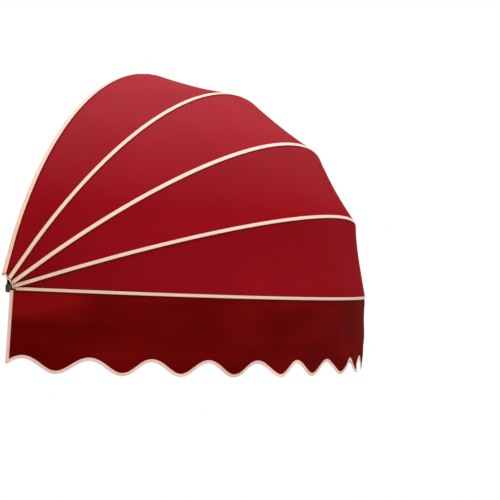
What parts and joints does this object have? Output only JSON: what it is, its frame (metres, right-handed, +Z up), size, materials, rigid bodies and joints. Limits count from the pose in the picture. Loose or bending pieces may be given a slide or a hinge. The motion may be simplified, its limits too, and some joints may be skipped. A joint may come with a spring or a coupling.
{
  "type": "window awning",
  "caption": "Folding basket awning for a window: arched bows fan out from a wall hinge line under taut cloth, with a scalloped valance round the front.",
  "frame": {"origin": "middle of the back face of the top wall clip, on the wall", "axes": "+X along the wall to the right seen from the street, +Y into the wall, +Z up"},
  "size_m": [1.9754, 0.6179, 0.8099],
  "materials": {
    "coated_tube": "white powder coat",
    "zinc_steel": "zinc plated",
    "nylon": "natural nylon",
    "red_cloth": "woven acrylic awning cloth",
    "valance_cloth": "woven acrylic awning cloth",
    "cream_tape": "woven cream tape"
  },
  "bodies": {
    "wall_frame": {"wall_bow": "coated_tube", "wall_bow_tang_left": "zinc_steel", "wall_bow_tang_right": "zinc_steel", "braid_1": "cream_tape", "hinge_bracket_left": "zinc_steel", "pivot_bolt_left": "zinc_steel", "pivot_nut_left": "zinc_steel", "spacer_left_1": "nylon", "spacer_left_2": "nylon", "spacer_left_3": "nylon", "spacer_left_4": "nylon", "hinge_bracket_right": "zinc_steel", "pivot_bolt_right": "zinc_steel", "pivot_nut_right": "zinc_steel", "spacer_right_1": "nylon", "spacer_right_2": "nylon", "spacer_right_3": "nylon", "spacer_right_4": "nylon", "wall_clip_top": "zinc_steel", "wall_clip_left": "zinc_steel", "wall_clip_right": "zinc_steel"},
    "second_bow": {"bow_2": "coated_tube", "bow_2_tang_left": "zinc_steel", "bow_2_tang_right": "zinc_steel", "braid_2": "cream_tape", "panel_1": "red_cloth"},
    "third_bow": {"bow_3": "coated_tube", "bow_3_tang_left": "zinc_steel", "bow_3_tang_right": "zinc_steel", "braid_3": "cream_tape", "panel_2": "red_cloth"},
    "fourth_bow": {"bow_4": "coated_tube", "bow_4_tang_left": "zinc_steel", "bow_4_tang_right": "zinc_steel", "braid_4": "cream_tape", "panel_3": "red_cloth"},
    "front_frame": {"front_bow": "coated_tube", "front_bow_tang_left": "zinc_steel", "front_bow_tang_right": "zinc_steel", "braid_5": "cream_tape", "panel_4": "red_cloth", "valance": "valance_cloth", "valance_binding": "cream_tape"}
  },
  "joints": [
    {"name": "second_bow_swing", "type": "hinge", "parent": "wall_frame", "child": "second_bow", "pos_m": [0, -0.016, -0.5754], "axis": [-1, 0, 0], "range_deg": [0, 19.4], "deforming": ["panel_1"]},
    {"name": "third_bow_swing", "type": "hinge", "parent": "second_bow", "child": "third_bow", "pos_m": [0, -0.016, -0.5754], "axis": [-1, 0, 0], "range_deg": [0, 18.5], "deforming": ["panel_2"]},
    {"name": "fourth_bow_swing", "type": "hinge", "parent": "third_bow", "child": "fourth_bow", "pos_m": [0, -0.016, -0.5754], "axis": [-1, 0, 0], "range_deg": [0, 18], "deforming": ["panel_3"]},
    {"name": "front_bow_swing", "type": "hinge", "parent": "fourth_bow", "child": "front_frame", "pos_m": [0, -0.016, -0.5754], "axis": [-1, 0, 0], "range_deg": [0, 17.6], "deforming": ["panel_4"]}
  ],
  "couplings": [
    {"joint": "third_bow_swing", "follows": "second_bow_swing", "ratio": 0.9536},
    {"joint": "fourth_bow_swing", "follows": "second_bow_swing", "ratio": 0.9278},
    {"joint": "front_bow_swing", "follows": "second_bow_swing", "ratio": 0.9072}
  ]
}
